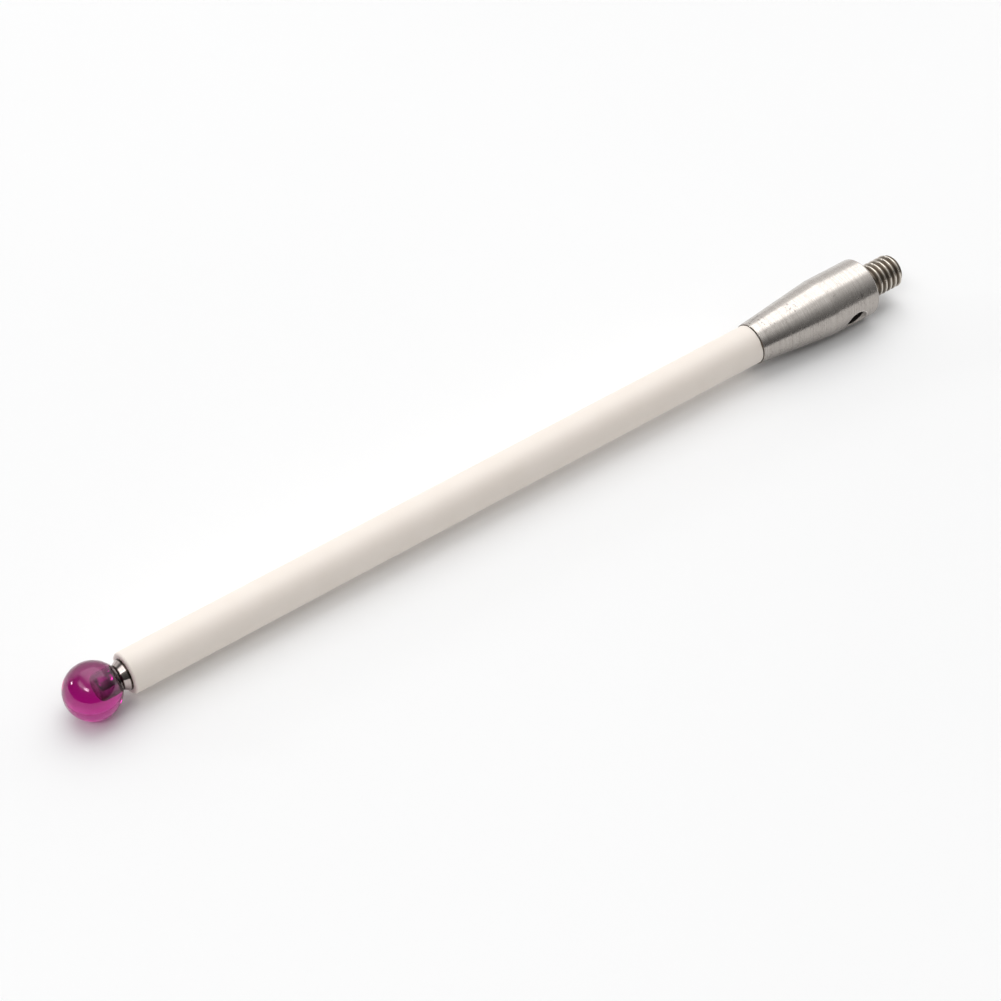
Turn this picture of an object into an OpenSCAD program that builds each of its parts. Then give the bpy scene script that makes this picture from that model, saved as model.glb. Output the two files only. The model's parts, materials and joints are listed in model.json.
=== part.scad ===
// Stylus for a touch probe on a coordinate measuring machine.
// A ruby ball sits on a turned holder at the end of a ceramic tube, and the tube
// is bonded into a tapered steel base with a threaded stud.
// The stylus lies along X with its ball at the negative end. The seating face of
// the base is the plane x = 0, and every piece is turned about the X axis.

/* [Overall] */
// distance from the ball centre to the seating face, the working length
stylus_length = 100; // [60:1:160]
// radial thickness of the bond film where one piece is glued into another
bond_gap = 0.03; // [0.01:0.01:0.08]

/* [Ruby ball] */
// diameter of the ball
ball_d = 6; // [5:0.1:8]
// diameter of the blind hole that takes the holder's spigot
ball_hole_d = 1.6; // [1.4:0.1:2.3]
// depth of the blind hole below the back of the ball
ball_hole_depth = 2.8; // [1.6:0.1:3.4]

/* [Ball holder] */
// diameter of the collar where it meets the ball
holder_small_d = 2.55; // [2.4:0.05:3]
// diameter of the collar where it seats on the stem
holder_big_d = 3.4; // [3.1:0.05:3.9]
// width of the plain land round the big end of the collar
holder_land = 0.12; // [0.05:0.01:0.2]
// axial gap between the back of the ball and the end of the stem
stem_standoff = 0.6; // [0.4:0.05:1.5]
// length of the tail inside the stem
holder_tail_length = 6; // [3:0.5:12]
// chamfer on the end of the tail
holder_tail_chamfer = 0.2; // [0.1:0.05:0.4]

/* [Ceramic stem] */
// outside diameter of the tube
stem_d = 4.5; // [4.1:0.05:4.6]
// bore of the tube
stem_bore_d = 2.5; // [2:0.1:2.9]
// chamfer on the outer edge of both ends of the tube
stem_chamfer = 0.2; // [0.05:0.05:0.3]

/* [Threaded base] */
// length of the base from its mouth to the seating face
base_length = 16.2; // [15:0.1:24]
// largest diameter of the base
base_d = 6.8; // [6.4:0.1:9]
// width of the bare steel land round the adhesive at the mouth
mouth_land = 0.04; // [0.02:0.01:0.3]
// length of the taper from the mouth to the plain cylinder
taper_length = 10; // [6:0.1:10.2]
// chamfer between the plain cylinder and the seating face
shoulder_chamfer = 0.3; // [0.1:0.05:0.8]
// depth of the socket that takes the stem
socket_depth = 7; // [4:0.5:8]
// width of the chamfer at the socket's mouth, filled with adhesive
mouth_chamfer = 0.06; // [0.04:0.01:0.2]

/* [Cross hole] */
// diameter of the hole through the base for a tightening bar
cross_hole_d = 2.2; // [1.6:0.1:2.8]
// depth of the countersink at both ends of the cross hole
cross_hole_countersink = 0.4; // [0.35:0.05:0.6]
// distance from the seating face to the centre of the cross hole
cross_hole_from_face = 3.25; // [2.6:0.05:4]
// angle of the cross hole below the horizontal on the near side
cross_hole_roll = 20; // [0:1:90]

/* [Threaded stud] */
// outside diameter of the thread
stud_d = 3.9; // [3.6:0.1:5]
// length of the stud beyond the seating face
stud_length = 4.9; // [4:0.1:10]
// chamfer on the end of the stud
stud_chamfer = 0.35; // [0.2:0.05:0.7]

/* [Hidden] */
// smoothness of the turned surfaces
$fn = 96;
// overshoot of cutting solids past the surfaces that they cut
cut_over = 1;
// radius of the ball
ball_r = ball_d / 2;
// position of the ball centre along the axis
ball_x = -stylus_length;
// position of the flat floor of the ball's blind hole
ball_hole_floor_x = ball_x + ball_r - ball_hole_depth;
// radius of the spigot in the ball
spigot_r = ball_hole_d / 2 - bond_gap;
// position of the end of the stem nearest the ball
stem_start_x = ball_x + ball_r + stem_standoff;
// distance of the dished seat's edges from the ball centre
seat_r = ball_r + bond_gap;
// where the dished seat meets the spigot
seat_inner_x = ball_x + sqrt(pow(seat_r, 2) - pow(spigot_r, 2));
// where the dished seat meets the outside of the collar
seat_outer_x = ball_x + sqrt(pow(seat_r, 2) - pow(holder_small_d / 2, 2));
// radius of the holder's tail
tail_r = stem_bore_d / 2 - bond_gap;
// position of the base's mouth along the axis
mouth_x = -base_length;
// position of the flat floor of the socket
socket_floor_x = mouth_x + socket_depth;
// radius of the socket
socket_r = stem_d / 2 + bond_gap;
// radius of the stem
stem_r = stem_d / 2;
// outside radius of the adhesive at the mouth
adhesive_r = socket_r + mouth_chamfer;
// outside radius of the base at its mouth
mouth_r = adhesive_r + mouth_land;

// A piece turned about the X axis from pairs of radius and position.
module turned(profile) {
    rotate([0, 90, 0])
        rotate_extrude()
            polygon(profile);
}

// A plain cylinder along X from one position to another.
module bar_x(d, from_x, to_x) {
    translate([from_x, 0, 0])
        rotate([0, 90, 0])
            cylinder(d = d, h = to_x - from_x);
}

// Ruby ball with a flat-bottomed blind hole.
module ruby_ball() {
    color([0.66, 0.07, 0.42])
        difference() {
            translate([ball_x, 0, 0])
                sphere(d = ball_d);
            bar_x(ball_hole_d, ball_hole_floor_x, ball_x + ball_r + cut_over);
        }
}

// Turned holder: spigot in the ball, conical collar with a dished seat, tail in the stem.
module ball_holder() {
    color([0.72, 0.71, 0.68])
        turned([
            [0, ball_hole_floor_x],
            [spigot_r, ball_hole_floor_x],
            [spigot_r, seat_inner_x],
            [holder_small_d / 2, seat_outer_x],
            [holder_big_d / 2, stem_start_x - holder_land],
            [holder_big_d / 2, stem_start_x],
            [tail_r, stem_start_x],
            [tail_r, stem_start_x + holder_tail_length - holder_tail_chamfer],
            [tail_r - holder_tail_chamfer, stem_start_x + holder_tail_length],
            [0, stem_start_x + holder_tail_length]
        ]);
}

// Ceramic tube with both outer edges broken.
module ceramic_stem() {
    color([0.91, 0.87, 0.82])
        turned([
            [stem_bore_d / 2, stem_start_x],
            [stem_r - stem_chamfer, stem_start_x],
            [stem_r, stem_start_x + stem_chamfer],
            [stem_r, socket_floor_x - stem_chamfer],
            [stem_r - stem_chamfer, socket_floor_x],
            [stem_bore_d / 2, socket_floor_x]
        ]);
}

// Bead of adhesive that fills the chamfer at the socket's mouth.
module stem_adhesive() {
    color([0.33, 0.25, 0.17])
        turned([
            [stem_r, mouth_x],
            [adhesive_r, mouth_x],
            [socket_r, mouth_x + mouth_chamfer],
            [stem_r, mouth_x + mouth_chamfer]
        ]);
}

// Hole across the base with a countersink at both ends.
module cross_hole() {
    reach = base_d / 2;
    translate([-cross_hole_from_face, 0, 0])
        rotate([90 + cross_hole_roll, 0, 0]) {
            translate([0, 0, -reach - cut_over])
                cylinder(d = cross_hole_d, h = 2 * (reach + cut_over));
            for (side = [0, 180])
                rotate([side, 0, 0])
                    translate([0, 0, reach - cross_hole_countersink])
                        cylinder(
                            r1 = cross_hole_d / 2,
                            r2 = cross_hole_d / 2 + cross_hole_countersink + cut_over,
                            h = cross_hole_countersink + cut_over
                        );
        }
}

// Turned base: socket, taper, plain cylinder, seating face and stud.
module threaded_base() {
    color([0.70, 0.68, 0.66])
        difference() {
            turned([
                [0, socket_floor_x],
                [socket_r, socket_floor_x],
                [socket_r, mouth_x + mouth_chamfer],
                [adhesive_r, mouth_x],
                [mouth_r, mouth_x],
                [base_d / 2, mouth_x + taper_length],
                [base_d / 2, -shoulder_chamfer],
                [base_d / 2 - shoulder_chamfer, 0],
                [stud_d / 2, 0],
                [stud_d / 2, stud_length - stud_chamfer],
                [stud_d / 2 - stud_chamfer, stud_length],
                [0, stud_length]
            ]);
            cross_hole();
        }
}

ruby_ball();
ball_holder();
ceramic_stem();
stem_adhesive();
threaded_base();
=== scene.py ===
"""Dresses the solids of a touch-probe stylus and lays it on a pale table."""

import json
import math

import bmesh
import bpy
from bpy.props import FloatProperty, FloatVectorProperty, PointerProperty
from bpy.types import Operator, Panel, PropertyGroup
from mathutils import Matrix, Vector


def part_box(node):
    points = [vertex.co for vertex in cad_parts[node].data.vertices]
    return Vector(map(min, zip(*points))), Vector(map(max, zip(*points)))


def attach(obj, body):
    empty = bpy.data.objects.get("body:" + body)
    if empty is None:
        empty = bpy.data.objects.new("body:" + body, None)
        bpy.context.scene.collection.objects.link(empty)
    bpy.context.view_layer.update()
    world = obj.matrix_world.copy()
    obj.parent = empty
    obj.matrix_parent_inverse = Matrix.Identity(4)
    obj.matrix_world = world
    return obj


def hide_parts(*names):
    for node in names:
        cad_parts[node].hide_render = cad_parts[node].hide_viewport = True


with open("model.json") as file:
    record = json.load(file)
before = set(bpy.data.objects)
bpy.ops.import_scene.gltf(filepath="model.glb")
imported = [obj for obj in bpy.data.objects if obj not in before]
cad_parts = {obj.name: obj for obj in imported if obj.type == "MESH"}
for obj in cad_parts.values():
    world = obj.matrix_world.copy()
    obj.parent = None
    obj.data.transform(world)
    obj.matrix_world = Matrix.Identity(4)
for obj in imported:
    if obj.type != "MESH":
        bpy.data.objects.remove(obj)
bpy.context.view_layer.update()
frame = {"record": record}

bl_info = {
    "name": "Touch-probe stylus",
    "version": (1, 0, 0),
    "blender": (4, 5, 0),
    "location": "View3D > Sidebar > Stylus",
    "description": "Builds a ruby-ball stylus with a ceramic stem and a threaded steel base",
    "category": "Add Mesh",
}

# One millimetre in metres, the radius below which a ring shrinks to a point, and a whole turn
MM = 0.001
TINY = 1e-7
FULL_TURN = 2 * math.pi

# How far steel is sunk into the ruby, so that no air shows between them, and the spigot's edge
SINK = 0.004 * MM
SPIGOT_EDGE = 0.25 * MM

# The bond film between glued pieces, the chamfer in the base's mouth and the one on the holder's tail
BOND_GAP = 0.03 * MM
MOUTH_CHAMFER = 0.06 * MM
TAIL_CHAMFER = 0.2 * MM

# Material slots of the base body beside its main steel
CONE_SLOT = 1
BORE_SLOT = 2
RIM_SLOT = 3

# Sides of the slender pieces, and of the ball and the base
SIDES = 160
WIDE_SIDES = 192

# Faces that meet at more than this angle keep a sharp edge between them
SHARP_ANGLE = math.radians(32)


def mount(name):
    """The record's mount of that name."""
    for entry in frame["record"]["mounts"]:
        if entry["name"] == name:
            return entry
    raise ValueError(f"the record has no mount named {name}")


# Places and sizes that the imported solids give
BALL_LOW, BALL_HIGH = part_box("ruby_ball")
HOLDER_LOW, HOLDER_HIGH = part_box("ball_holder")
STEM_LOW, STEM_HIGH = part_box("ceramic_stem")
ADHESIVE_LOW, ADHESIVE_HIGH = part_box("stem_adhesive")
BASE_LOW, BASE_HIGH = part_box("threaded_base")
STUD = mount("stud")
CROSS_HOLE = mount("cross_hole")
BALL_RADIUS = BALL_HIGH.z
BALL_X = BALL_LOW.x + BALL_RADIUS
STUD_RADIUS = STUD["dims"]["r_mm"] * MM
HOLE_RADIUS = CROSS_HOLE["dims"]["r_mm"] * MM
HOLE_X = CROSS_HOLE["pos_m"][0]
HOLE_ANGLE = math.atan2(CROSS_HOLE["axis"][2], CROSS_HOLE["axis"][1])


def length_setting(name, description, default):
    """A size of the stylus, in metres."""
    return FloatProperty(
        name=name,
        description=description,
        default=default,
        min=0.0,
        precision=6,
        unit="LENGTH",
        subtype="DISTANCE",
    )


def colour_setting(name, description, default):
    """A colour of the stylus or its table."""
    return FloatVectorProperty(
        name=name,
        description=description,
        default=default,
        size=3,
        min=0.0,
        max=1.0,
        subtype="COLOR",
    )


def power_setting(name, description, default):
    """The power of a lamp, in watts."""
    return FloatProperty(
        name=name,
        description=description,
        default=default,
        min=0.0,
        subtype="POWER",
        unit="POWER",
    )


class RubyBallSettings(PropertyGroup):
    """Sizes and colours of the ruby ball."""

    radius: length_setting("Radius", "Radius of the ball", BALL_RADIUS)
    hole_radius: length_setting("Hole radius", "Radius of the hole for the spigot", 0.8 * MM)
    tint: colour_setting("Tint", "Colour that light takes at the surface", (0.97, 0.62, 0.88))
    deep_tint: colour_setting("Deep tint", "Second colour of the growth bands", (0.95, 0.52, 0.84))
    depth_colour: colour_setting("Depth colour", "Colour that light keeps inside", (0.86, 0.02, 0.75))
    depth_density: FloatProperty(
        name="Depth density",
        description="How fast light loses the other colours, per metre",
        default=1000.0,
        min=0.0,
        subtype="UNSIGNED",
    )


class BallHolderSettings(PropertyGroup):
    """Sizes and colours of the turned holder between ball and stem."""

    small_radius: length_setting("Small radius", "Radius of the collar at the ball", 1.275 * MM)
    big_radius: length_setting("Big radius", "Radius of the collar at the stem", HOLDER_HIGH.z)
    land: length_setting("Land", "Width of the land at the big end", 0.12 * MM)
    edge: length_setting("Edge", "Round on the collar's big edge", 0.05 * MM)
    light_steel: colour_setting("Light steel", "Colour between the turning lines", (0.54, 0.475, 0.45))
    dark_steel: colour_setting("Dark steel", "Colour in the turning lines", (0.45, 0.39, 0.37))
    spigot_steel: colour_setting("Spigot steel", "Colour of the spigot in the ball", (0.27, 0.25, 0.24))
    bond: colour_setting("Bond", "Colour of the bond at the collar's ends", (0.05, 0.035, 0.03))
    bond_width: length_setting("Bond width", "Width of the bond at the collar's ends", 0.24 * MM)


class CeramicStemSettings(PropertyGroup):
    """Sizes and colours of the ceramic tube."""

    radius: length_setting("Radius", "Outside radius of the tube", STEM_HIGH.z)
    bore_radius: length_setting("Bore radius", "Radius of the tube's bore", 1.25 * MM)
    edge: length_setting("Edge", "Round on the tube's outer edges", 0.28 * MM)
    ivory: colour_setting("Ivory", "Main colour of the ceramic", (0.905, 0.825, 0.75))
    shade: colour_setting("Shade", "Colour of the faint clouds in the ceramic", (0.89, 0.808, 0.73))


class AdhesiveBeadSettings(PropertyGroup):
    """Sizes and colours of the bead of adhesive at the base's mouth."""

    radius: length_setting("Radius", "Outside radius of the bead", ADHESIVE_HIGH.z)
    creep: length_setting("Creep", "How far the bead runs out along the stem", 0.13 * MM)
    amber: colour_setting("Amber", "Lighter colour of the adhesive", (0.11, 0.075, 0.05))
    umber: colour_setting("Umber", "Darker colour of the adhesive", (0.045, 0.032, 0.024))


class BaseBodySettings(PropertyGroup):
    """Sizes and colours of the tapered base."""

    radius: length_setting("Radius", "Largest radius of the base", BASE_HIGH.z)
    mouth_radius: length_setting("Mouth radius", "Radius at the socket's mouth", 2.38 * MM)
    taper: length_setting("Taper", "Length of the taper", 10.0 * MM)
    chamfer: length_setting("Chamfer", "Chamfer at the seating face", 0.3 * MM)
    hole_radius: length_setting("Hole radius", "Radius of the cross hole", HOLE_RADIUS)
    countersink: length_setting("Countersink", "Depth of the cross hole's countersink", 0.4 * MM)
    hole_edge: length_setting("Hole edge", "Reach of the round on the countersink's rim", 0.09 * MM)
    light_steel: colour_setting("Light steel", "Colour between the turning lines", (0.63, 0.59, 0.55))
    dark_steel: colour_setting("Dark steel", "Colour in the turning lines", (0.48, 0.443, 0.41))
    # This colour is real wear in the scuffs and specks, and painted shade below the base's top, in the
    # cross hole's bore and on the lower side of its rim.
    wear_and_shade: colour_setting("Wear", "Colour of scuffs, specks and duller steel", (0.17, 0.15, 0.14))
    # This colour between the countersink's streaks is painted shade in the countersink.
    cut: colour_setting("Cut", "Colour between the countersink's streaks", (0.26, 0.24, 0.22))
    # The cross hole's bore is painted shade: its streaks take this colour and its ground the wear
    # colour.
    bore: colour_setting("Bore", "Colour of streaks inside the cross hole", (0.10, 0.09, 0.085))
    # This colour is a painted highlight on the rim round the countersink.
    rim: colour_setting("Rim", "Colour of the bright rim round the countersink", (0.82, 0.79, 0.75))


class ThreadedStudSettings(PropertyGroup):
    """Sizes and colours of the threaded stud."""

    radius: length_setting("Radius", "Outside radius of the thread", STUD_RADIUS)
    pitch: length_setting("Pitch", "Distance from crest to crest", 0.7 * MM)
    depth: length_setting("Depth", "Depth of the thread", 0.36 * MM)
    first_crest: length_setting("First crest", "Where a crest lies on the far side", 1.3 * MM)
    undercut: length_setting("Undercut", "Length of the groove between shoulder and thread", 0.9 * MM)
    chamfer: length_setting("Chamfer", "Chamfer at the stud's end", 0.35 * MM)
    # The light steel is a painted highlight along the crests, the dark steel painted shade in the
    # roots.
    light_steel: colour_setting("Light steel", "Colour on worn crests", (0.66, 0.61, 0.54))
    dark_steel: colour_setting("Dark steel", "Colour in the roots", (0.22, 0.187, 0.153))


class StageSettings(PropertyGroup):
    """Colours and light of the table."""

    floor_colour: colour_setting("Floor", "Colour of the table", (0.95, 0.95, 0.95))
    softbox_power: power_setting("Softbox power", "Power of the large lamp above", 48.5)
    side_power: power_setting("Side power", "Power of the lit card on the ball's side", 22.0)
    front_power: power_setting("Front power", "Power of the small lamp in front of the ball", 50.0)
    back_power: power_setting("Back power", "Power of the small lamp behind the ball", 10.0)


# Outlines of turned pieces are lists of (position along X, radius)


def softened(corners, rounds, steps=5):
    """The outline with each corner that has a round replaced by an arc."""
    outline = []
    last = len(corners) - 1
    for index, (corner, round_radius) in enumerate(zip(corners, rounds)):
        if round_radius == 0 or index in (0, last):
            outline.append(corner)
            continue
        here = complex(*corner)
        arrive = here - complex(*corners[index - 1])
        leave = complex(*corners[index + 1]) - here
        arrive /= abs(arrive)
        leave /= abs(leave)
        bend = leave / arrive
        turn = math.atan2(bend.imag, bend.real)
        side = 1j if turn > 0 else -1j
        start = here - arrive * round_radius * math.tan(abs(turn) / 2)
        centre = start + side * arrive * round_radius
        for step in range(steps + 1):
            part = turn * step / steps
            point = centre + (start - centre) * complex(math.cos(part), math.sin(part))
            outline.append((point.real, point.imag))
    return outline


def supported(outline, margin):
    """The outline with a row near both ends of each long span, which keeps its shading flat."""
    result = [outline[0]]
    for (x0, r0), (x1, r1) in zip(outline, outline[1:]):
        span = math.hypot(x1 - x0, r1 - r0)
        if span > 3 * margin:
            for part in (margin / span, 1 - margin / span):
                result.append((x0 + (x1 - x0) * part, r0 + (r1 - r0) * part))
        result.append((x1, r1))
    return result


def ring_point(x, radius, angle):
    """A point at that angle about the stylus axis."""
    return (x, radius * math.cos(angle), radius * math.sin(angle))


def add_ring(bm, x, radius, sides, start=0.0):
    """A ring of vertices about the axis, or one vertex on the axis."""
    if radius < TINY:
        return [bm.verts.new((x, 0.0, 0.0))]
    return [bm.verts.new(ring_point(x, radius, start + FULL_TURN * k / sides)) for k in range(sides)]


def bridge_rings(bm, near, far, skip=(), slot=0):
    """Faces between two rings, with the outside to the left of the way from near to far."""
    sides = max(len(near), len(far))
    for k in range(sides):
        if k in skip:
            continue
        n = (k + 1) % sides
        if len(near) == 1:
            face = bm.faces.new((near[0], far[n], far[k]))
        elif len(far) == 1:
            face = bm.faces.new((near[k], near[n], far[0]))
        else:
            face = bm.faces.new((near[k], near[n], far[n], far[k]))
        face.material_index = slot


def turned_mesh(name, outline, sides, closed=False):
    """A mesh turned about X from an outline that is followed with the outside on its left."""
    bm = bmesh.new()
    rings = [add_ring(bm, x, radius, sides) for x, radius in outline]
    for near, far in zip(rings, rings[1:]):
        bridge_rings(bm, near, far)
    if closed:
        bridge_rings(bm, rings[-1], rings[0])
    return mesh_from(bm, name)


def mesh_from(bm, name):
    """The finished mesh, with the bmesh freed."""
    mesh = bpy.data.meshes.new(name)
    bm.to_mesh(mesh)
    bm.free()
    return mesh


def place_piece(mesh, material, node):
    """Puts a dressed piece in the scene in place of a solid."""
    mesh.materials.append(material)
    mesh.shade_smooth()
    mesh.set_sharp_from_angle(angle=SHARP_ANGLE)
    piece = bpy.data.objects.new(mesh.name, mesh)
    bpy.context.scene.collection.objects.link(piece)
    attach(piece, "root")
    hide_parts(node)


def moved(tree, source, ranges, easing="LINEAR"):
    """A value moved from one range to another and held inside it."""
    move = tree.nodes.new("ShaderNodeMapRange")
    move.interpolation_type = easing
    for name, value in zip(("From Min", "From Max", "To Min", "To Max"), ranges):
        move.inputs[name].default_value = value
    tree.links.new(source, move.inputs["Value"])
    return move.outputs["Result"]


def eased(tree, source, low, high, new_low, new_high):
    """A value moved from one range to another with a soft start and end."""
    return moved(tree, source, (low, high, new_low, new_high), "SMOOTHSTEP")


def calculated(tree, operation, first, second):
    """What an operation makes of two values."""
    result = tree.nodes.new("ShaderNodeMath")
    result.operation = operation
    tree.links.new(first, result.inputs[0])
    tree.links.new(second, result.inputs[1])
    return result.outputs["Value"]


class Finish:
    """A material under construction, with its shader and its object coordinates in millimetres."""

    def __init__(self, name):
        self.material = bpy.data.materials.new(name)
        self.material.use_nodes = True
        self.tree = self.material.node_tree
        self.surface = self.tree.nodes["Principled BSDF"]
        self.output = self.tree.nodes["Material Output"]
        coordinates = self.add("ShaderNodeTexCoord")
        scale = self.add("ShaderNodeVectorMath", operation="SCALE")
        scale.inputs["Scale"].default_value = 1 / MM
        self.join(coordinates.outputs["Object"], scale.inputs[0])
        self.place = scale.outputs["Vector"]
        split = self.add("ShaderNodeSeparateXYZ")
        self.join(self.place, split.inputs["Vector"])
        self.along = split.outputs["X"]
        self.height = split.outputs["Z"]
        flat = self.add("ShaderNodeVectorMath", operation="MULTIPLY")
        flat.inputs[1].default_value = (0.0, 1.0, 1.0)
        self.join(self.place, flat.inputs[0])
        reach = self.add("ShaderNodeVectorMath", operation="LENGTH")
        self.join(flat.outputs["Vector"], reach.inputs[0])
        self.from_axis = reach.outputs["Value"]

    def add(self, kind, **settings):
        """A new node with these settings."""
        made = self.tree.nodes.new(kind)
        for key, value in settings.items():
            setattr(made, key, value)
        return made

    def join(self, source, target):
        """A link from an output to an input."""
        self.tree.links.new(source, target)

    def set(self, **values):
        """Constants on the surface shader's own sockets."""
        for key, value in values.items():
            socket = key.replace("_", " ").title().replace("Ior", "IOR")
            self.surface.inputs[socket].default_value = value

    def noise(self, scale, detail=2.0, stretch=None):
        """Noise in space, with features of about 1 / scale millimetres, stretched if asked."""
        source = self.place
        if stretch:
            squeeze = self.add("ShaderNodeVectorMath", operation="MULTIPLY")
            squeeze.inputs[1].default_value = stretch
            self.join(source, squeeze.inputs[0])
            source = squeeze.outputs["Vector"]
        noise = self.add("ShaderNodeTexNoise")
        noise.inputs["Scale"].default_value = scale
        noise.inputs["Detail"].default_value = detail
        self.join(source, noise.inputs["Vector"])
        return noise.outputs["Fac"]

    def lines(self, scale, detail):
        """Noise that changes only along the axis, as turning lines do."""
        noise = self.add("ShaderNodeTexNoise", noise_dimensions="1D")
        noise.inputs["Scale"].default_value = scale
        noise.inputs["Detail"].default_value = detail
        self.join(self.along, noise.inputs["W"])
        return noise.outputs["Fac"]

    def ranged(self, source, low, high, new_low, new_high):
        """A value moved from one range to another and held inside it."""
        return moved(self.tree, source, (low, high, new_low, new_high))

    def sum(self, first, second, weight):
        """The first value plus a share of the second."""
        total = self.add("ShaderNodeMath", operation="MULTIPLY_ADD")
        total.inputs[1].default_value = weight
        self.join(second, total.inputs[0])
        self.join(first, total.inputs[2])
        return total.outputs["Value"]

    def product(self, first, second):
        """The product of two values."""
        return calculated(self.tree, "MULTIPLY", first, second)

    def larger(self, first, second):
        """The larger of two values."""
        return calculated(self.tree, "MAXIMUM", first, second)

    def blend(self, share, first, second):
        """A colour between two colours."""
        mix = self.add("ShaderNodeMix", data_type="RGBA")
        self.join(share, mix.inputs["Factor"])
        for socket, value in ((mix.inputs[6], first), (mix.inputs[7], second)):
            if hasattr(value, "is_linked"):
                self.join(value, socket)
            else:
                socket.default_value = (*value, 1.0)
        return mix.outputs[2]

    def colour(self, source):
        """Links the surface's colour."""
        self.join(source, self.surface.inputs["Base Color"])

    def roughness(self, source):
        """Links the surface's roughness."""
        self.join(source, self.surface.inputs["Roughness"])

    def turned_gloss(self, strength):
        """Stretches the gloss as lines round the axis do."""
        self.set(metallic=1.0, anisotropic=strength, anisotropic_rotation=0.25)
        grain = self.add("ShaderNodeTangent", direction_type="RADIAL", axis="X")
        self.join(grain.outputs["Tangent"], self.surface.inputs["Tangent"])

    def bump(self, height, distance):
        """Links a fine relief of that height in metres."""
        relief = self.add("ShaderNodeBump")
        relief.inputs["Strength"].default_value = 1.0
        relief.inputs["Distance"].default_value = distance
        self.join(height, relief.inputs["Height"])
        self.join(relief.outputs["Normal"], self.surface.inputs["Normal"])


def ruby_finish(settings):
    """Polished transparent ruby with faint growth bands."""
    finish = Finish("polished_ruby")
    bands = finish.noise(0.5, 2.0, (1.0, 0.4, 1.0))
    finish.colour(finish.blend(bands, settings.tint, settings.deep_tint))
    finish.roughness(finish.ranged(finish.noise(3.0), 0.45, 0.75, 0.0, 0.012))
    finish.set(metallic=0.0, ior=1.77, transmission_weight=1.0)
    finish.set(specular_tint=(0.9, 0.68, 0.8, 1.0))
    depth = finish.add("ShaderNodeVolumeAbsorption")
    depth.inputs["Color"].default_value = (*settings.depth_colour, 1.0)
    depth.inputs["Density"].default_value = settings.depth_density
    finish.join(depth.outputs["Volume"], finish.output.inputs["Volume"])
    return finish.material


def holder_finish(settings, spigot, first, last):
    """Polished steel with fine turning lines, and dark bond at the collar's ends.

    The spigot's radius and the collar's first and last place along the axis are in metres.
    """
    finish = Finish("polished_holder_steel")
    lines = finish.sum(finish.lines(14.0, 3.0), finish.lines(3.0, 1.0), 0.6)
    share = finish.ranged(lines, 0.6, 1.0, 0.0, 1.0)
    steel = finish.blend(share, settings.dark_steel, settings.light_steel)
    width = settings.bond_width / MM
    start = first / MM
    end = last / MM
    inside = spigot / MM
    blur = 0.05
    at_ball = finish.ranged(finish.along, start + 0.3 * width, start + 0.7 * width, 1.0, 0.0)
    at_stem = finish.ranged(finish.along, end - width, end - 0.75 * width, 0.0, 1.0)
    off_spigot = finish.ranged(finish.from_axis, inside, inside + blur, 0.0, 1.0)
    in_ball = finish.ranged(finish.along, start - blur, start, 1.0, 0.0)
    steel = finish.blend(in_ball, steel, settings.spigot_steel)
    bond = finish.larger(finish.product(at_ball, off_spigot), at_stem)
    finish.colour(finish.blend(bond, steel, settings.bond))
    finish.roughness(finish.ranged(share, 0.0, 1.0, 0.12, 0.07))
    finish.bump(lines, 0.0003 * MM)
    finish.turned_gloss(0.3)
    return finish.material


def base_finish(settings):
    """Turned stainless steel with fine lines, a grain across them and specks, and painted shade that
    darkens it below its top.
    """
    finish = Finish("turned_base_steel")
    lines = finish.sum(finish.lines(7.0, 3.0), finish.lines(1.8, 1.0), 0.5)
    grain = finish.noise(4.5, 4.0, (1.7, 0.8, 0.8))
    broken = finish.sum(lines, grain, 0.9)
    share = finish.ranged(broken, 0.9, 1.45, 0.0, 1.0)
    steel = finish.blend(share, settings.dark_steel, settings.light_steel)
    scuffs = finish.ranged(finish.noise(0.5, 2.0), 0.52, 0.7, 0.0, 1.0)
    specks = finish.ranged(finish.noise(3.4, 3.0, (1.0, 0.7, 0.7)), 0.55, 0.68, 0.0, 0.8)
    steel = finish.blend(finish.product(scuffs, specks), steel, settings.wear_and_shade)
    radius = settings.radius / MM
    # Painted shade: the steel darkens towards the wear colour below the base's top.
    below_top = finish.ranged(finish.height, 0.38 * radius, 0.55 * radius, 0.36, 0.0)
    finish.colour(finish.blend(below_top, steel, settings.wear_and_shade))
    finish.roughness(finish.ranged(broken, 0.9, 1.45, 0.3, 0.2))
    finish.bump(finish.sum(grain, lines, 0.4), 0.003 * MM)
    finish.turned_gloss(0.55)
    return finish.material


def cut_finish(name, ground, streak, below=None):
    """Steel as a drill or a countersink leaves it, with streaks that run into the hole.

    Where a third colour is given, the steel darkens to it on the stylus's lower side as painted shade.
    """
    finish = Finish(name)
    streaks = finish.ranged(finish.noise(3.0, 3.0, (2.0, 0.4, 0.4)), 0.3, 0.7, 0.0, 1.0)
    steel = finish.blend(streaks, ground, streak)
    if below is not None:
        # Painted shade on the stylus's lower side.
        shaded_lower_side = finish.ranged(finish.height, -1.6, -0.6, 0.8, 0.0)
        steel = finish.blend(shaded_lower_side, steel, below)
    finish.colour(steel)
    finish.roughness(finish.ranged(streaks, 0.0, 1.0, 0.45, 0.35))
    finish.bump(streaks, 0.002 * MM)
    finish.set(metallic=1.0)
    return finish.material


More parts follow.
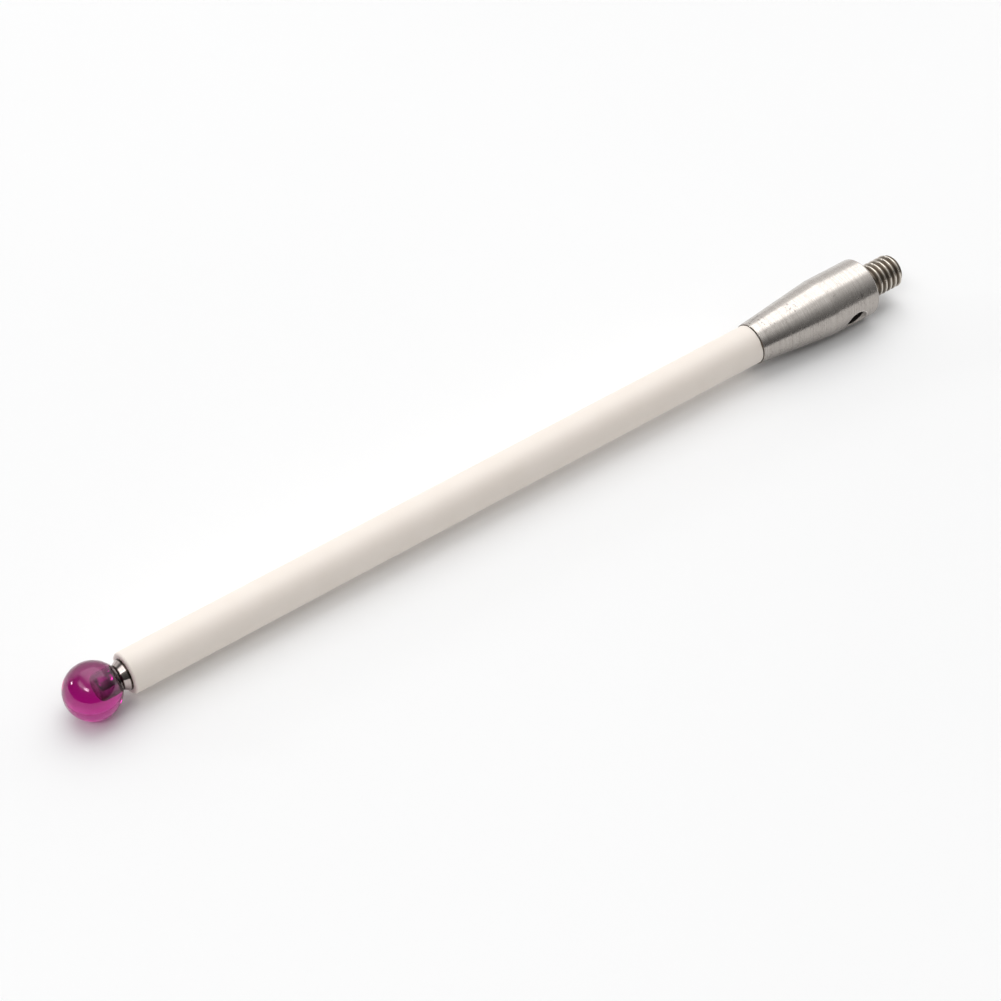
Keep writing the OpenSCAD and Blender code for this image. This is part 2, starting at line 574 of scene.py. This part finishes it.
def stud_finish(settings):
    """Thread steel, bright on the crests as a painted highlight and brown in the roots as painted
    shade.
    """
    finish = Finish("threaded_stud_steel")
    crest = settings.radius / MM
    root = crest - settings.depth / MM
    grain = finish.noise(5.0, 3.0, (1.0, 0.5, 0.5))
    height = finish.sum(finish.ranged(finish.from_axis, root, crest, 0.0, 1.0), grain, 0.35)
    # Crests take a painted highlight and roots painted shade.
    share = finish.ranged(height, 0.7, 1.15, 0.0, 1.0)
    finish.colour(finish.blend(share, settings.dark_steel, settings.light_steel))
    finish.roughness(finish.ranged(share, 0.0, 1.0, 0.34, 0.2))
    finish.bump(grain, 0.002 * MM)
    finish.turned_gloss(0.4)
    return finish.material


def ceramic_finish(settings):
    """Ground ivory-white ceramic with faint clouds and a fine tooth."""
    finish = Finish("ground_ceramic")
    clouds = finish.ranged(finish.noise(0.35, 3.0), 0.35, 0.65, 0.0, 1.0)
    finish.colour(finish.blend(clouds, settings.ivory, settings.shade))
    finish.roughness(finish.ranged(finish.noise(6.0, 3.0), 0.3, 0.7, 0.38, 0.52))
    finish.bump(finish.noise(14.0, 3.0), 0.0012 * MM)
    finish.set(metallic=0.0, ior=1.6)
    return finish.material


def adhesive_finish(settings):
    """Brown adhesive, uneven in colour and gloss."""
    finish = Finish("brown_adhesive")
    patches = finish.ranged(finish.noise(1.8, 3.0), 0.35, 0.65, 0.0, 1.0)
    finish.colour(finish.blend(patches, settings.amber, settings.umber))
    finish.roughness(finish.ranged(patches, 0.0, 1.0, 0.3, 0.5))
    finish.bump(patches, 0.004 * MM)
    return finish.material


def table_finish(settings):
    """Pale matt table with a barely uneven tone."""
    finish = Finish("pale_table")
    tone = finish.ranged(finish.noise(0.01, 2.0), 0.3, 0.7, 0.0, 1.0)
    darker = tuple(0.985 * part for part in settings.floor_colour)
    finish.colour(finish.blend(tone, settings.floor_colour, darker))
    finish.set(metallic=0.0, roughness=0.85)
    return finish.material


class STYLUS_OT_ruby_ball(Operator):
    """Makes the ruby ball with its blind hole"""

    bl_idname = "stylus.ruby_ball"
    bl_label = "Ruby ball"

    def execute(self, context):
        settings = context.scene.stylus_ball
        radius = settings.radius
        rim_angle = math.asin(settings.hole_radius / radius)
        rows = 120
        outline = []
        for row in range(rows + 1):
            angle = math.pi + (rim_angle - math.pi) * row / rows
            outline.append((BALL_X + radius * math.cos(angle), radius * math.sin(angle)))
        outline.append((HOLDER_LOW.x, settings.hole_radius))
        outline.append((HOLDER_LOW.x, 0.0))
        rounds = [0] * (rows + 1) + [SPIGOT_EDGE - SINK, 0]
        outline = softened(outline, rounds)
        mesh = turned_mesh("polished_ruby_ball", outline, WIDE_SIDES)
        place_piece(mesh, ruby_finish(settings), "ruby_ball")
        return {"FINISHED"}


class STYLUS_OT_ball_holder(Operator):
    """Makes the turned holder that carries the ball"""

    bl_idname = "stylus.ball_holder"
    bl_label = "Ball holder"

    def execute(self, context):
        scene = context.scene
        settings = scene.stylus_holder
        ball = scene.stylus_ball
        spigot = ball.hole_radius + SINK
        seat = ball.radius + SINK
        seat_inner = BALL_X + math.sqrt(seat**2 - spigot**2)
        seat_outer = BALL_X + math.sqrt(seat**2 - settings.small_radius**2)
        tail = scene.stylus_stem.bore_radius - BOND_GAP
        fine_edge = 0.02 * MM
        margin = 0.04 * MM
        corners = [
            (HOLDER_LOW.x - SINK, 0.0),
            (HOLDER_LOW.x - SINK, spigot),
            (seat_inner, spigot),
            (seat_outer, settings.small_radius),
            (STEM_LOW.x - settings.land, settings.big_radius),
            (STEM_LOW.x, settings.big_radius),
            (STEM_LOW.x, tail),
            (HOLDER_HIGH.x - TAIL_CHAMFER, tail),
            (HOLDER_HIGH.x, tail - TAIL_CHAMFER),
            (HOLDER_HIGH.x, 0.0),
        ]
        rounds = [0, SPIGOT_EDGE, 0, fine_edge, settings.edge, fine_edge, 0, 0, 0, 0]
        outline = supported(softened(corners, rounds), margin)
        mesh = turned_mesh("turned_ball_holder", outline, SIDES)
        material = holder_finish(settings, spigot, seat_outer, STEM_LOW.x)
        place_piece(mesh, material, "ball_holder")
        return {"FINISHED"}


class STYLUS_OT_ceramic_stem(Operator):
    """Makes the ceramic tube with its softened ends"""

    bl_idname = "stylus.ceramic_stem"
    bl_label = "Ceramic stem"

    def execute(self, context):
        settings = context.scene.stylus_stem
        middle = (STEM_LOW.x + STEM_HIGH.x) / 2
        margin = 0.1 * MM
        corners = [
            (middle, settings.bore_radius),
            (STEM_LOW.x, settings.bore_radius),
            (STEM_LOW.x, settings.radius),
            (STEM_HIGH.x, settings.radius),
            (STEM_HIGH.x, settings.bore_radius),
        ]
        rounds = [0, 0, settings.edge, settings.edge, 0]
        outline = supported(softened(corners, rounds), margin)
        mesh = turned_mesh("white_ceramic_stem", outline, SIDES, closed=True)
        place_piece(mesh, ceramic_finish(settings), "ceramic_stem")
        return {"FINISHED"}


class STYLUS_OT_adhesive_bead(Operator):
    """Makes the uneven bead of adhesive round the stem at the base's mouth"""

    bl_idname = "stylus.adhesive_bead"
    bl_label = "Adhesive bead"

    def execute(self, context):
        settings = context.scene.stylus_adhesive
        overlap = 0.01 * MM
        swell = 0.035 * MM
        edge_drop = 0.03 * MM
        inner = context.scene.stylus_stem.radius - overlap
        bm = bmesh.new()
        sections = []
        for k in range(SIDES):
            angle = FULL_TURN * k / SIDES
            wave = math.sin(3 * angle + 0.7)
            wave += 0.6 * math.sin(7 * angle + 2.1)
            wave += 0.4 * math.sin(13 * angle)
            creep = settings.creep * (1 + 0.22 * wave)
            section = [
                (ADHESIVE_HIGH.x, inner),
                (ADHESIVE_LOW.x - creep, inner),
                (ADHESIVE_LOW.x - 0.55 * creep, inner + swell),
                (ADHESIVE_LOW.x - 0.2 * creep, settings.radius - edge_drop),
                (ADHESIVE_LOW.x, settings.radius),
                (ADHESIVE_HIGH.x, settings.radius - MOUTH_CHAMFER),
            ]
            sections.append([bm.verts.new(ring_point(x, radius, angle)) for x, radius in section])
        for near, far in zip(sections, sections[1:] + sections[:1]):
            count = len(near)
            for j in range(count):
                n = (j + 1) % count
                bm.faces.new((near[j], far[j], far[n], near[n]))
        mesh = mesh_from(bm, "adhesive_bead")
        place_piece(mesh, adhesive_finish(settings), "stem_adhesive")
        return {"FINISHED"}


def countersink_reach(settings, turn):
    """How far from the cross hole's axis its countersink meets the cylinder, at a turn about it."""
    floor = settings.radius - settings.countersink
    reach = settings.hole_radius + settings.countersink
    closing_steps = 30
    for _ in range(closing_steps):
        surface = math.sqrt(settings.radius**2 - (reach * math.sin(turn)) ** 2)
        reach = settings.hole_radius + surface - floor
    return reach


def curve_point(part, start, corner, end):
    """A value on the soft curve from start to end that heads for their corner at both ends."""
    return (1 - part) ** 2 * start + 2 * part * (1 - part) * corner + part**2 * end


def window_loop(rings, columns, angle):
    """The vertices round an opening in a grid of rings, that many columns wide to both sides."""
    sides = len(rings[0])
    last = len(rings) - 1
    centre_column = round((angle - HOLE_ANGLE) / FULL_TURN * sides)
    low = centre_column - columns
    high = centre_column + columns
    loop = [rings[row][low % sides] for row in range(last)]
    loop += [rings[last][k % sides] for k in range(low, high)]
    loop += [rings[row][high % sides] for row in range(last, 0, -1)]
    loop += [rings[0][k % sides] for k in range(high, low, -1)]
    return loop


def hole_window(bm, rings, columns, settings, angle):
    """A countersunk hole in the grid of the plain cylinder.

    Returns the ring of vertices at the countersink's floor, where the bore begins.
    """
    loop = window_loop(rings, columns, angle)
    outward = (math.cos(angle), math.sin(angle))
    sideways = (-outward[1], outward[0])

    def point(u, v, height):
        """A vertex that far along X and sideways from the hole's axis, and that far out along it."""
        y = height * outward[0] + v * sideways[0]
        z = height * outward[1] + v * sideways[1]
        return bm.verts.new((HOLE_X + u, y, z))

    flat = []
    for vert in loop:
        u = vert.co.x - HOLE_X
        v = vert.co.y * sideways[0] + vert.co.z * sideways[1]
        flat.append((u, v, math.atan2(v, u)))
    inward_shares = (0.3, 0.55, 0.75, 0.9, 1.0)
    previous = loop
    for share in inward_shares:
        current = []
        for u, v, turn in flat:
            reach = countersink_reach(settings, turn) + settings.hole_edge
            to_u = u + (reach * math.cos(turn) - u) * share
            to_v = v + (reach * math.sin(turn) - v) * share
            current.append(point(to_u, to_v, math.sqrt(settings.radius**2 - to_v**2)))
        bridge_rings(bm, previous, current)
        previous = current
    drop = settings.hole_edge * math.sqrt(0.5)
    rim_steps = 5
    for step in range(1, rim_steps + 1):
        part = step / rim_steps
        current = []
        for _, _, turn in flat:
            corner = countersink_reach(settings, turn)
            outer = corner + settings.hole_edge
            corner_height = math.sqrt(settings.radius**2 - (corner * math.sin(turn)) ** 2)
            outer_height = math.sqrt(settings.radius**2 - (outer * math.sin(turn)) ** 2)
            reach = curve_point(part, outer, corner, corner - drop)
            height = curve_point(part, outer_height, corner_height, corner_height - drop)
            current.append(point(reach * math.cos(turn), reach * math.sin(turn), height))
        bridge_rings(bm, previous, current, slot=RIM_SLOT)
        previous = current
    floor = settings.radius - settings.countersink
    rim = settings.hole_radius
    current = [point(rim * math.cos(turn), rim * math.sin(turn), floor) for _, _, turn in flat]
    bridge_rings(bm, previous, current, slot=CONE_SLOT)
    return current


class STYLUS_OT_base_body(Operator):
    """Makes the tapered base with its socket and cross hole"""

    bl_idname = "stylus.base_body"
    bl_label = "Base body"

    def execute(self, context):
        settings = context.scene.stylus_base
        sides = WIDE_SIDES
        columns = 20
        window_rows = 40
        half_window = 2.0 * MM
        mouth_edge = 0.02 * MM
        taper_round = 3.0 * MM
        shoulder_edge = 0.15 * MM
        front_margin = 0.08 * MM
        back_margin = 0.05 * MM
        socket = context.scene.stylus_stem.radius + BOND_GAP
        adhesive = context.scene.stylus_adhesive.radius
        taper_end = BASE_LOW.x + settings.taper
        rim = settings.radius - settings.chamfer
        front_corners = [
            (STEM_HIGH.x, 0.0),
            (STEM_HIGH.x, socket),
            (BASE_LOW.x + MOUTH_CHAMFER, socket),
            (BASE_LOW.x, adhesive),
            (BASE_LOW.x, settings.mouth_radius),
            (taper_end, settings.radius),
            (HOLE_X - half_window, settings.radius),
        ]
        front_rounds = [0, 0, 0, 0, mouth_edge, taper_round, 0]
        back_corners = [
            (HOLE_X + half_window, settings.radius),
            (-settings.chamfer, settings.radius),
            (0.0, rim),
            (0.0, 0.0),
        ]
        back_rounds = [0, shoulder_edge, shoulder_edge, 0]
        front = supported(softened(front_corners, front_rounds), front_margin)
        back = supported(softened(back_corners, back_rounds), back_margin)
        bm = bmesh.new()
        front_rings = [add_ring(bm, x, r, sides, HOLE_ANGLE) for x, r in front]
        window_rings = [front_rings[-1]]
        for row in range(1, window_rows):
            x = HOLE_X - half_window + 2 * half_window * row / window_rows
            window_rings.append(add_ring(bm, x, settings.radius, sides, HOLE_ANGLE))
        back_rings = [add_ring(bm, x, r, sides, HOLE_ANGLE) for x, r in back]
        window_rings.append(back_rings[0])
        for rings in (front_rings, back_rings):
            for near, far in zip(rings, rings[1:]):
                bridge_rings(bm, near, far)
        opened = set()
        for centre in (0, sides // 2):
            opened.update(k % sides for k in range(centre - columns, centre + columns))
        for near, far in zip(window_rings, window_rings[1:]):
            bridge_rings(bm, near, far, opened)
        near_ring = hole_window(bm, window_rings, columns, settings, HOLE_ANGLE)
        far_ring = hole_window(bm, window_rings, columns, settings, HOLE_ANGLE + math.pi)
        count = len(near_ring)
        opposite = 2 * window_rows + 2 * columns
        far_ring = [far_ring[(opposite - k) % count] for k in range(count)]
        bridge_rings(bm, near_ring, far_ring, slot=BORE_SLOT)
        bmesh.ops.recalc_face_normals(bm, faces=bm.faces)
        mesh = mesh_from(bm, "tapered_base_body")
        place_piece(mesh, base_finish(settings), "threaded_base")
        # The countersink's ground is painted shade; its streaks keep the steel's dark colour.
        cone_steel = cut_finish("countersink_steel", settings.cut, settings.dark_steel)
        # The bore's dark steel is painted shade inside the cross hole.
        bore_steel = cut_finish("drilled_bore_steel", settings.wear_and_shade, settings.bore)
        # The rim takes a painted highlight, with painted shade on its lower side.
        rim_steel = cut_finish("bright_rim_steel", settings.light_steel, settings.rim, settings.wear_and_shade)
        for steel in (cone_steel, bore_steel, rim_steel):
            mesh.materials.append(steel)
        return {"FINISHED"}


def thread_depth_share(place, pitch):
    """How deep a thread of straight flanks lies at a place along its pitch, from 0 to 1."""
    crest = 0.1
    flank = 0.3
    soft = 0.1
    from_crest = abs((place / pitch + 0.5) % 1.0 - 0.5)
    down = (from_crest - crest) / flank
    if down < -soft:
        return 0.0
    if down < soft:
        return (down + soft) ** 2 / (4 * soft)
    if down < 1 - soft:
        return down
    if down < 1 + soft:
        return 1 - (1 + soft - down) ** 2 / (4 * soft)
    return 1.0


class STYLUS_OT_threaded_stud(Operator):
    """Makes the stud with its right-hand thread"""

    bl_idname = "stylus.threaded_stud"
    bl_label = "Threaded stud"

    def execute(self, context):
        settings = context.scene.stylus_stud
        rows_per_turn = 20
        buried = 0.3 * MM
        weld = 2e-7
        start = -buried
        end = BASE_HIGH.x
        pitch = settings.pitch
        turns_before = math.ceil((settings.first_crest - start) / pitch + 1)
        first = settings.first_crest - turns_before * pitch
        turns = math.ceil((end - first) / pitch) + 1
        rows = turns * rows_per_turn
        end_radius = settings.radius - settings.chamfer

        def point(row, column):
            """A point of the thread, in rows that climb by one pitch a turn."""
            angle = FULL_TURN * column / SIDES
            x = first + pitch * (row / rows_per_turn + column / SIDES)
            x = min(max(x, start), end)
            depth = settings.depth * thread_depth_share(x - pitch * column / SIDES - first, pitch)
            radius = min(settings.radius - depth, end_radius + (end - x))
            run_out = settings.radius - settings.depth + max(x - settings.undercut, 0.0)
            radius = min(radius, run_out)
            return ring_point(x, radius, angle)

        bm = bmesh.new()
        grid = []
        for row in range(rows + 1):
            grid.append([bm.verts.new(point(row, column)) for column in range(SIDES)])
        for row in range(rows):
            for column in range(SIDES):
                neighbour = (column + 1) % SIDES
                across = row if neighbour else row + rows_per_turn
                if across + 1 > rows:
                    continue
                corners = (
                    grid[row][column],
                    grid[across][neighbour],
                    grid[across + 1][neighbour],
                    grid[row + 1][column],
                )
                bm.faces.new(corners)
        bmesh.ops.remove_doubles(bm, verts=bm.verts, dist=weld)
        open_edges = [edge for edge in bm.edges if edge.is_boundary]
        bmesh.ops.holes_fill(bm, edges=open_edges, sides=0)
        caps = [face for face in bm.faces if len(face.verts) > 4]
        bmesh.ops.poke(bm, faces=caps)
        bmesh.ops.recalc_face_normals(bm, faces=bm.faces)
        mesh = mesh_from(bm, "threaded_stud")
        place_piece(mesh, stud_finish(settings), "threaded_base")
        return {"FINISHED"}


def lay_floor(settings):
    """A wide floor that touches the ball and the base."""
    half = 1.8
    ball_bottom = -BALL_RADIUS
    taper_end = BASE_LOW.x + bpy.context.scene.stylus_base.taper
    slope = (BASE_LOW.z - ball_bottom) / (taper_end - BALL_X)
    corners = []
    for x, y in ((-half, -half), (half, -half), (half, half), (-half, half)):
        corners.append((x, y, ball_bottom + slope * (x - BALL_X)))
    mesh = bpy.data.meshes.new("pale_floor")
    mesh.from_pydata(corners, [], [(0, 1, 2, 3)])
    mesh.materials.append(table_finish(settings))
    floor = bpy.data.objects.new("pale_floor", mesh)
    bpy.context.scene.collection.objects.link(floor)


def fade_edges(lamp, fade):
    """Lets a lamp's light fade towards its edges, over that share of its sides."""
    lamp.use_nodes = True
    tree = lamp.node_tree
    place = tree.nodes.new("ShaderNodeNewGeometry").outputs["Parametric"]
    split = tree.nodes.new("ShaderNodeSeparateXYZ")
    tree.links.new(place, split.inputs["Vector"])
    levels = []
    for axis in ("X", "Y"):
        from_edge = tree.nodes.new("ShaderNodeMath")
        from_edge.operation = "PINGPONG"
        from_edge.inputs[1].default_value = 0.5
        tree.links.new(split.outputs[axis], from_edge.inputs[0])
        levels.append(eased(tree, from_edge.outputs["Value"], 0.0, fade, 0.0, 1.0))
    tree.links.new(calculated(tree, "MULTIPLY", *levels), tree.nodes["Emission"].inputs["Strength"])


def hang_lamp(name, size, fade, power, place, turn=(0.0, 0.0, 0.0)):
    """A rectangular lamp with fading edges that shines along its own -Z."""
    lamp = bpy.data.lights.new(name, "AREA")
    lamp.shape = "RECTANGLE"
    lamp.size, lamp.size_y = size
    lamp.energy = power
    fade_edges(lamp, fade)
    holder = bpy.data.objects.new(name, lamp)
    holder.location = place
    holder.rotation_euler = turn
    bpy.context.scene.collection.objects.link(holder)


def hang_lamps(settings):
    """A large lamp above and behind, with a lit card and two small lamps on the ball's side.

    The card hangs a little above the front lamp, so that it doesn't cut into that lamp's reflection.
    """
    height = 2.0
    card_rise = 0.1
    wide_fade = 0.2
    card_fade = 0.4
    spot_fade = 0.5
    left, right = -1.07, 2.77
    front, back = -0.49, 2.75
    size = (right - left, back - front)
    place = ((left + right) / 2, (front + back) / 2, height)
    hang_lamp("overhead_softbox", size, wide_fade, settings.softbox_power, place)

    size = (1.3, 2.8)
    place = (-1.75, 0.35, height + card_rise)
    hang_lamp("side_card", size, card_fade, settings.side_power, place)

    size = (0.85, 1.4)
    place = (-1.53, -0.82, height)
    turn = (0.0, 0.0, math.radians(15))
    hang_lamp("front_spot", size, spot_fade, settings.front_power, place, turn)

    size = (0.4, 0.4)
    place = Vector((-1.34, 1.44, 0.6))
    turn = place.to_track_quat("Z", "Y").to_euler()
    hang_lamp("back_spot", size, spot_fade, settings.back_power, place, turn)


def open_side(tree, height, sideways):
    """The room's light away from its wall: brighter upwards, and dark on the ball's side."""
    rise = tree.nodes.new("ShaderNodeValToRGB")
    stops = ((0.0, 0.17), (0.3, 0.22), (0.46, 0.31), (0.6, 0.46), (0.7, 0.62), (0.8, 0.95), (1.0, 1.1))
    ramp = rise.color_ramp
    while len(ramp.elements) < len(stops):
        ramp.elements.new(0.5)
    for element, (position, level) in zip(ramp.elements, stops):
        element.position = position
        element.color = (level, level, level, 1.0)
    tree.links.new(height, rise.inputs["Fac"])
    past_ball = eased(tree, sideways, -0.35, 0.25, 0.4, 1.0)
    return calculated(tree, "MULTIPLY", rise.outputs["Color"], past_ball)


def back_wall(tree, direction, height):
    """Where the lit wall behind the stylus is seen, from 0 to 1."""
    camera_heading = (0.603, 0.798, 0.0)
    away = tree.nodes.new("ShaderNodeVectorMath")
    away.operation = "DOT_PRODUCT"
    away.inputs[1].default_value = camera_heading
    tree.links.new(direction, away.inputs[0])
    behind = eased(tree, away.outputs["Value"], 0.2, 0.55, 0.0, 1.0)
    below_top = eased(tree, height, 0.6, 0.95, 1.0, 0.0)
    return calculated(tree, "MULTIPLY", behind, below_top)


def show_white(tree, lighting):
    """Shows plain white to the camera in place of the room that lights the stylus."""
    white = tree.nodes.new("ShaderNodeBackground")
    white.inputs["Color"].default_value = (1.0, 1.0, 1.0, 1.0)
    path = tree.nodes.new("ShaderNodeLightPath")
    choose = tree.nodes.new("ShaderNodeMixShader")
    tree.links.new(path.outputs["Is Camera Ray"], choose.inputs["Fac"])
    tree.links.new(lighting.outputs["Background"], choose.inputs[1])
    tree.links.new(white.outputs["Background"], choose.inputs[2])
    tree.links.new(choose.outputs["Shader"], tree.nodes["World Output"].inputs["Surface"])


def light_room():
    """A plain room: bright above, dark on the ball's side and with a lit wall at the back."""
    world = bpy.data.worlds.new("studio_room")
    world.use_nodes = True
    tree = world.node_tree
    lighting = tree.nodes["Background"]
    direction = tree.nodes.new("ShaderNodeTexCoord").outputs["Generated"]
    split = tree.nodes.new("ShaderNodeSeparateXYZ")
    tree.links.new(direction, split.inputs["Vector"])
    height = split.outputs["Z"]
    mix = tree.nodes.new("ShaderNodeMix")
    tree.links.new(back_wall(tree, direction, height), mix.inputs["Factor"])
    tree.links.new(open_side(tree, height, split.outputs["X"]), mix.inputs["A"])
    tree.links.new(eased(tree, height, 0.15, 0.5, 0.92, 1.12), mix.inputs["B"])
    tree.links.new(mix.outputs["Result"], lighting.inputs["Color"])
    lighting.inputs["Strength"].default_value = 0.85
    show_white(tree, lighting)
    bpy.context.scene.world = world


def aim_camera():
    """The camera that sees the stylus from the ball's side and from above."""
    camera = bpy.data.cameras.new("viewing_camera")
    camera.sensor_width = 36.0
    camera.lens = 99.32
    camera.clip_start = 0.01
    camera.clip_end = 50.0
    viewer = bpy.data.objects.new("viewing_camera", camera)
    downward = 44.7513
    heading = -37.0819
    viewer.location = (-0.175081, -0.164754, 0.201102)
    viewer.rotation_euler = (math.radians(90 - downward), 0.0, math.radians(heading))
    bpy.context.scene.collection.objects.link(viewer)
    bpy.context.scene.camera = viewer


class STYLUS_OT_stage(Operator):
    """Lays the table and sets the lamps, the room and the camera"""

    bl_idname = "stylus.stage"
    bl_label = "Stage"

    def execute(self, context):
        settings = context.scene.stylus_stage
        lay_floor(settings)
        hang_lamps(settings)
        light_room()
        aim_camera()
        context.scene.view_settings.view_transform = "Standard"
        return {"FINISHED"}


# The operators in order, each with the name and the class of its settings
STEPS = (
    (STYLUS_OT_ruby_ball, "stylus_ball", RubyBallSettings),
    (STYLUS_OT_ball_holder, "stylus_holder", BallHolderSettings),
    (STYLUS_OT_ceramic_stem, "stylus_stem", CeramicStemSettings),
    (STYLUS_OT_adhesive_bead, "stylus_adhesive", AdhesiveBeadSettings),
    (STYLUS_OT_base_body, "stylus_base", BaseBodySettings),
    (STYLUS_OT_threaded_stud, "stylus_stud", ThreadedStudSettings),
    (STYLUS_OT_stage, "stylus_stage", StageSettings),
)


class STYLUS_PT_panel(Panel):
    """Lists the pieces of the stylus with their sizes and colours"""

    bl_idname = "STYLUS_PT_panel"
    bl_label = "Touch-probe stylus"
    bl_space_type = "VIEW_3D"
    bl_region_type = "UI"
    bl_category = "Stylus"

    def draw(self, context):
        for step, holder, settings in STEPS:
            box = self.layout.box()
            box.operator(step.bl_idname)
            for name in settings.__annotations__:
                box.prop(getattr(context.scene, holder), name)


def register():
    """Registers the settings, the operators and the panel."""
    for step, holder, settings in STEPS:
        bpy.utils.register_class(settings)
        bpy.utils.register_class(step)
        setattr(bpy.types.Scene, holder, PointerProperty(type=settings))
    bpy.utils.register_class(STYLUS_PT_panel)


def unregister():
    """Takes back what register made."""
    bpy.utils.unregister_class(STYLUS_PT_panel)
    for step, holder, settings in reversed(STEPS):
        delattr(bpy.types.Scene, holder)
        bpy.utils.unregister_class(step)
        bpy.utils.unregister_class(settings)


def main():
    """Builds every piece and the stage."""
    register()
    bpy.ops.stylus.ruby_ball()
    bpy.ops.stylus.ball_holder()
    bpy.ops.stylus.ceramic_stem()
    bpy.ops.stylus.adhesive_bead()
    bpy.ops.stylus.base_body()
    bpy.ops.stylus.threaded_stud()
    bpy.ops.stylus.stage()


if __name__ == "__main__":
    main()
